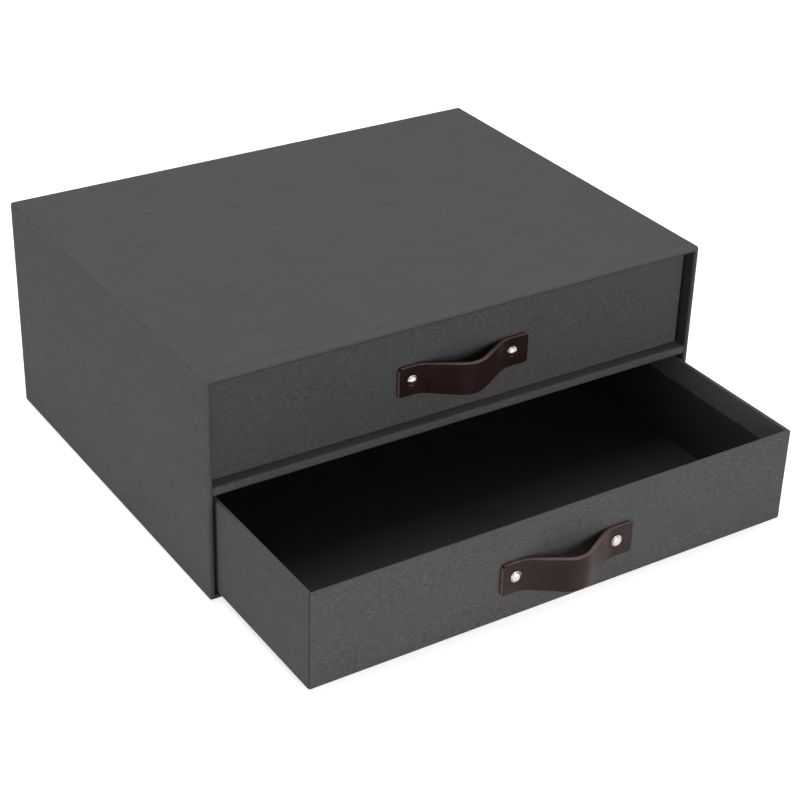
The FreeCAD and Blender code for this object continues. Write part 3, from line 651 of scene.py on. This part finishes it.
def rivets(prefix, finish):
    """Both domed caps of a drawer, with a rolled rim that is pressed into the leather."""
    low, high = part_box(f"{prefix}_rivet_caps")
    height = high.y - low.y
    turns = [2 * math.pi * index / CAP_SEGMENTS for index in range(CAP_SEGMENTS)]
    mesh = bmesh.new()
    for side in (-1, 1):
        centre = Vector((side * RIVET_AT, high.y, (low.z + high.z) / 2))
        crown = mesh.verts.new(centre + Vector((0, -height, 0)))
        rings = []
        for radius, depth in cap_profile(height):
            ring = []
            for turn in turns:
                spoke = Vector((radius * math.cos(turn), depth, radius * math.sin(turn)))
                ring.append(mesh.verts.new(centre + spoke))
            rings.append(ring)
        for point, after in zip(rings[0], rings[0][1:] + rings[0][:1]):
            mesh.faces.new((crown, after, point))
        for ring, following in zip(rings, rings[1:]):
            bridge(mesh, ring, following)
        mesh.faces.new(rings[-1])
    bmesh.ops.recalc_face_normals(mesh, faces=mesh.faces)
    piece = make_piece(f"{prefix}_rivets", mesh, finish)
    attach(piece, f"{prefix}_drawer")
    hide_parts(f"{prefix}_rivet_caps")


# ---------------------------------------------------------------- dressing the CAD nodes

def kind_of(name):
    """Which finish a CAD node takes."""
    if name.endswith("_board"):
        return "board"
    if name.endswith("_lining"):
        return "lining"
    if "_rivet_" in name:
        return "rivet"
    if name == "case_cover" or name.endswith(("_drawer_cover", "_handle")):
        return name
    return "paper"


def dress(finishes):
    """Give every CAD node the finish of its kind."""
    for name, node in frame["nodes"].items():
        node.data.materials.clear()
        node.data.materials.append(finishes[kind_of(name)].material)


# ---------------------------------------------------------------- floor, light and camera

FLOOR_REACH = 6.0           # from its middle to its edges
FLOOR_GLOW = 0.75           # near the object, where the lamps do the rest
FAR_GLOW = 1.0
GLOW_SPAN = (0.7, 2.2)      # how far from the middle the one gives way to the other
SKY = 0.08                  # the surround's light on the object, where 1 is white


def floor():
    """A pale floor that keeps the object's shadow and looks white to the camera."""
    finish = Finish("floor")
    x, y = finish.axes()[:2]
    away = finish.calc("SQRT", finish.calc("MULTIPLY_ADD", x, x, finish.calc("MULTIPLY", y, y)))
    glow = finish.step(away, *GLOW_SPAN, start=FLOOR_GLOW, end=FAR_GLOW)
    finish.set(Base_Color=grey(0.90), Roughness=0.9, Specular_IOR_Level=0.0)
    finish.set(Emission_Color=grey(1.0), Emission_Strength=finish.product(finish.seen(), glow))
    mesh = bmesh.new()
    bmesh.ops.create_grid(mesh, x_segments=1, y_segments=1, size=FLOOR_REACH)
    piece = make_piece("floor", mesh, finish)


def world():
    """A white surround that lights the object at a lower level."""
    sky = bpy.data.worlds.new("surround")
    sky.use_nodes = True
    bpy.context.scene.world = sky
    nodes = Nodes(sky.node_tree)
    background = sky.node_tree.nodes["Background"]
    nodes.plug(background, "Color", grey(1.0))
    nodes.plug(background, "Strength", nodes.choose(nodes.seen(), SKY, 1.0))


LIGHTS = {
    # name: (place, aim, width, height, watts)
    "overhead": ((-0.10, 0.13, 1.40), (0, 0, 0.07), 0.65, 0.65, 11.3),
    "left": ((-1.50, 0.0, 0.22), (0, 0, 0.05), 1.0, 0.4, 6.8),
    "right": ((1.50, -0.20, 0.50), (0, 0, 0.07), 1.0, 1.0, 5.1),
    "front": ((0.0, -1.50, 0.40), (0, 0, 0.07), 1.0, 0.6, 10.3),
}


def soft_light(name, place, aim, width, height, watts):
    """A rectangular soft box that points at a spot."""
    data = bpy.data.lights.new(name, "AREA")
    data.shape = "RECTANGLE"
    data.size = width
    data.size_y = height
    data.energy = watts
    lamp = bpy.data.objects.new(name, data)
    lamp.location = place
    lamp.rotation_euler = (Vector(aim) - Vector(place)).to_track_quat("-Z", "Y").to_euler()
    bpy.context.scene.collection.objects.link(lamp)


AZIMUTH = math.radians(-33.262)
ELEVATION = math.radians(29.893)
ROLL = math.radians(1.721)
DISTANCE = 1.26626
TARGET = Vector((0.040163, 0.0, 0.005208))
LENS = 86.875               # mm, as SENSOR
SENSOR = 36.0


def camera():
    """The photograph's camera, fitted to the box's edges."""
    back = Vector((
        math.sin(AZIMUTH) * math.cos(ELEVATION),
        -math.cos(AZIMUTH) * math.cos(ELEVATION),
        math.sin(ELEVATION),
    ))
    right = Vector((math.cos(AZIMUTH), math.sin(AZIMUTH), 0))
    up = back.cross(right)
    tilted_right = right * math.cos(ROLL) + up * math.sin(ROLL)
    tilted_up = up * math.cos(ROLL) - right * math.sin(ROLL)
    data = bpy.data.cameras.new("camera")
    data.lens = LENS
    data.sensor_width = SENSOR
    data.clip_start = 0.01
    data.clip_end = 50.0
    eye = bpy.data.objects.new("camera", data)
    turn = Matrix((tilted_right, tilted_up, back)).transposed().to_4x4()
    eye.matrix_world = Matrix.Translation(TARGET + back * DISTANCE) @ turn
    bpy.context.scene.collection.objects.link(eye)
    bpy.context.scene.camera = eye


# ---------------------------------------------------------------- the scene

finishes = {
    "board": board_finish(),
    "lining": lining_finish(),
    "paper": paper_finish(),
    "case_cover": case_paper_finish(),
    "rivet": rivet_finish(),
}
for drawer in DRAWERS:
    finishes[f"{drawer}_drawer_cover"] = drawer_paper_finish(drawer)
    finishes[f"{drawer}_handle"] = leather_finish(drawer)
dress(finishes)
for drawer in DRAWERS:
    strap(drawer, finishes[f"{drawer}_handle"])
    rivets(drawer, finishes["rivet"])
floor()
world()
for light, settings in LIGHTS.items():
    soft_light(light, *settings)
camera()
bpy.context.scene.view_settings.view_transform = "Standard"
